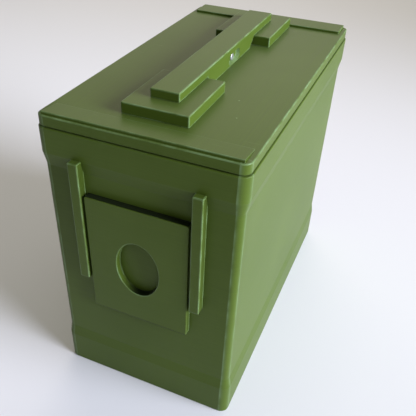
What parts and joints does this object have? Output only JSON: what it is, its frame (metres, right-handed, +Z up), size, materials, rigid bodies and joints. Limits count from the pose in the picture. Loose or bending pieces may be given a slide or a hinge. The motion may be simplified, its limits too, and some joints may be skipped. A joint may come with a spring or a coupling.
{
  "type": "lipo safe box",
  "caption": "Hard battery safe box in the style of an ammunition can, with a hinged lid, a carrying handle and a sliding front latch with an oval finger hole.",
  "frame": {"origin": "middle of the footprint of the whole part, on the surface it stands on", "axes": "+X to the right seen from the latch end, +Y from the latch end to the hinge end (the long way), +Z up"},
  "size_m": [0.1026, 0.1976, 0.1719],
  "materials": {
    "green_plastic": "olive green printed plastic, satin, with fine layer lines",
    "grey_plastic": "dark grey printed plastic, satin",
    "zinc_steel": "bright zinc-plated steel",
    "seal_rubber": "soft black silicone rubber",
    "fibre_felt": "off-white needled glass-fibre felt board"
  },
  "bodies": {
    "box": {"body_tub": "green_plastic", "right_latch_rail": "green_plastic", "left_latch_rail": "green_plastic", "right_bolt_guide": "grey_plastic", "left_bolt_guide": "grey_plastic", "latch_cover": "grey_plastic", "rail_screws": "zinc_steel", "cover_screws": "zinc_steel", "hinge_pin": "zinc_steel", "floor_liner": "fibre_felt", "right_liner": "fibre_felt", "left_liner": "fibre_felt", "front_liner": "fibre_felt", "rear_liner": "fibre_felt"},
    "lid": {"lid_shell": "green_plastic", "lid_gasket": "seal_rubber", "right_lid_keeper": "grey_plastic", "left_lid_keeper": "grey_plastic", "keeper_screws": "zinc_steel", "front_handle_pad": "green_plastic", "rear_handle_pad": "green_plastic", "handle_bar": "green_plastic", "handle_screws": "zinc_steel", "handle_cross_screw": "zinc_steel", "lid_liner": "fibre_felt"},
    "latch": {"latch_plate": "green_plastic", "slot_bushes": "grey_plastic", "link_screws": "zinc_steel", "cam_slide": "grey_plastic"},
    "right_bolt": {"right_lock_bolt": "grey_plastic"},
    "left_bolt": {"left_lock_bolt": "grey_plastic"}
  },
  "joints": [
    {"name": "lid_hinge", "type": "hinge", "parent": "box", "child": "lid", "pos_m": [0, 0.0959, 0.1525], "axis": [-1, 0, 0], "range_deg": [0, 110]},
    {"name": "latch_slide", "type": "slide", "parent": "box", "child": "latch", "axis": [0, 0, 1], "range_m": [0, 0.0085]},
    {"name": "right_bolt_slide", "type": "slide", "parent": "box", "child": "right_bolt", "axis": [1, 0, 0], "range_m": [0, 0.004]},
    {"name": "left_bolt_slide", "type": "slide", "parent": "box", "child": "left_bolt", "axis": [-1, 0, 0], "range_m": [0, 0.004]}
  ],
  "couplings": [
    {"joint": "right_bolt_slide", "follows": "latch_slide", "ratio": 0.47},
    {"joint": "left_bolt_slide", "follows": "latch_slide", "ratio": 0.47}
  ]
}
